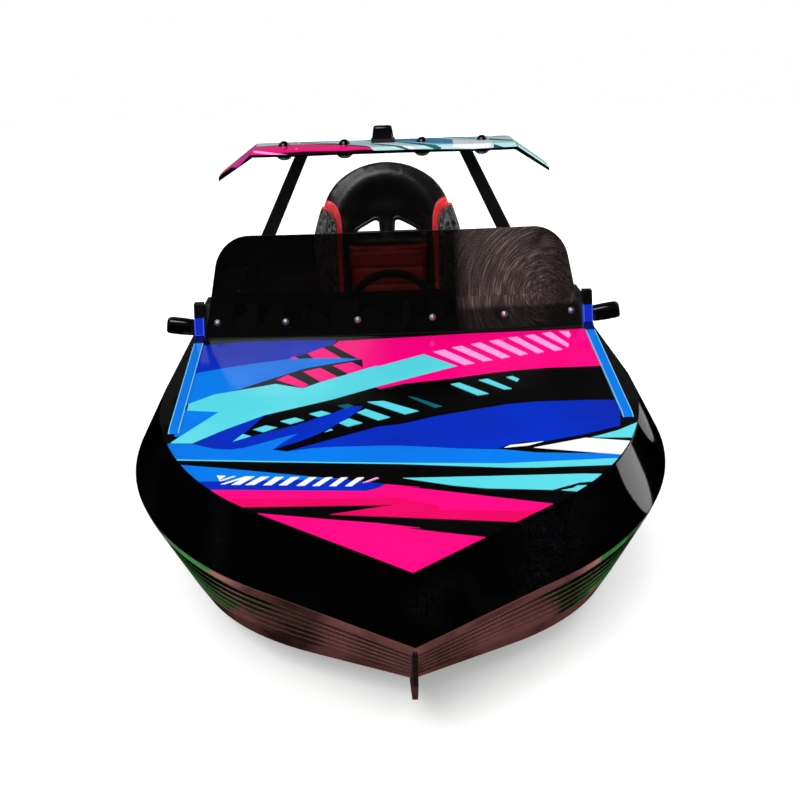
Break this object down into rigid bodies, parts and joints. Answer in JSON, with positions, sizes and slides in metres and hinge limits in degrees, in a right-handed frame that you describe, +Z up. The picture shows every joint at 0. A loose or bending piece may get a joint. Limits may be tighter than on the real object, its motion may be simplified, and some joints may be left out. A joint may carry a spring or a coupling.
{
  "type": "electric boat",
  "caption": "Small one-seat electric boat with a broad blunt bow, bucket seat, smoked windscreen, rear lamp wing and a water jet with a steering nozzle.",
  "frame": {"origin": "on the ground under the hull, at the middle of the overall length and width", "axes": "-Y towards the bow, +X towards the driver's left, +Z up; the keel pad lies on z = 0"},
  "size_m": [1.49, 2.76, 1.162],
  "materials": {
    "hull_black": "gloss",
    "deck_print": "gloss",
    "rail_blue": "gloss",
    "black_plastic": "satin",
    "deck_tread": "matt",
    "smoked_glass": "gloss",
    "seat_vinyl": "satin",
    "seat_red": "satin",
    "wheel_grip": "matt",
    "black_metal": "satin",
    "steel": "brushed",
    "cast_alloy": "cast",
    "bronze": "polished",
    "lamp_dark": "gloss",
    "lamp_clear": "gloss",
    "mirror": "polished"
  },
  "bodies": {
    "boat": {"lower_hull": "hull_black", "topsides": "hull_black", "jet_intake": "black_plastic", "rear_bulkhead": "black_plastic", "foredeck": "deck_print", "deck_rails": "rail_blue", "dash_beam": "black_plastic", "windscreen": "smoked_glass", "cockpit_floor": "deck_tread", "aft_deck": "black_plastic", "hatch_hinges": "steel", "keel_fin": "hull_black", "seat_frame": "black_metal", "seat_shell": "seat_vinyl", "seat_back_pad": "seat_vinyl", "seat_cushion": "seat_vinyl", "seat_bolsters": "seat_red", "thigh_bolsters": "seat_red", "steering_column": "black_metal", "foot_pedals": "black_metal", "wing_panel": "deck_print", "wing_struts": "black_metal", "lamp_caps": "lamp_dark", "lamp_lenses": "lamp_clear", "beacon_base": "black_plastic", "beacon_cover": "black_plastic", "mirror_housings": "black_plastic", "mirror_glasses": "mirror", "cockpit_coamings": "black_plastic", "pump_housing": "cast_alloy", "pump_stator": "cast_alloy", "rod_gland": "steel", "ride_plate": "cast_alloy", "intake_grille": "cast_alloy", "motor_block": "black_metal", "battery_block": "black_plastic"},
    "helm": {"helm_shaft": "steel", "steering_wheel": "wheel_grip"},
    "hatch": {"motor_hatch": "deck_tread"},
    "rotor": {"drive_shaft": "steel", "impeller": "bronze"},
    "nozzle": {"steering_nozzle": "cast_alloy"},
    "rod": {"steering_rod": "steel"}
  },
  "joints": [
    {"name": "helm_turn", "type": "hinge", "parent": "boat", "child": "helm", "pos_m": [0, 0.1155, 0.66735], "axis": [0, 0.9397, 0.342], "range_deg": [-110, 110]},
    {"name": "nozzle_turn", "type": "hinge", "parent": "boat", "child": "nozzle", "pos_m": [0, 1.26, 0.15], "axis": [0, 0, 1], "range_deg": [-22.5, 22.5]},
    {"name": "rod_slide", "type": "slide", "parent": "boat", "child": "rod", "axis": [0, 1, 0], "range_m": [-0.0432, 0.0432]},
    {"name": "pump_spin", "type": "hinge", "parent": "boat", "child": "rotor", "pos_m": [0, 1.04, 0.15], "axis": [0, 1, 0], "continuous": true},
    {"name": "hatch_open", "type": "hinge", "parent": "boat", "child": "hatch", "pos_m": [0, 1.112, 0.6], "axis": [-1, 0, 0], "range_deg": [0, 85]}
  ],
  "couplings": [
    {"joint": "nozzle_turn", "follows": "helm_turn", "ratio": -0.2},
    {"joint": "rod_slide", "follows": "helm_turn", "m_per_rad": -0.022}
  ]
}
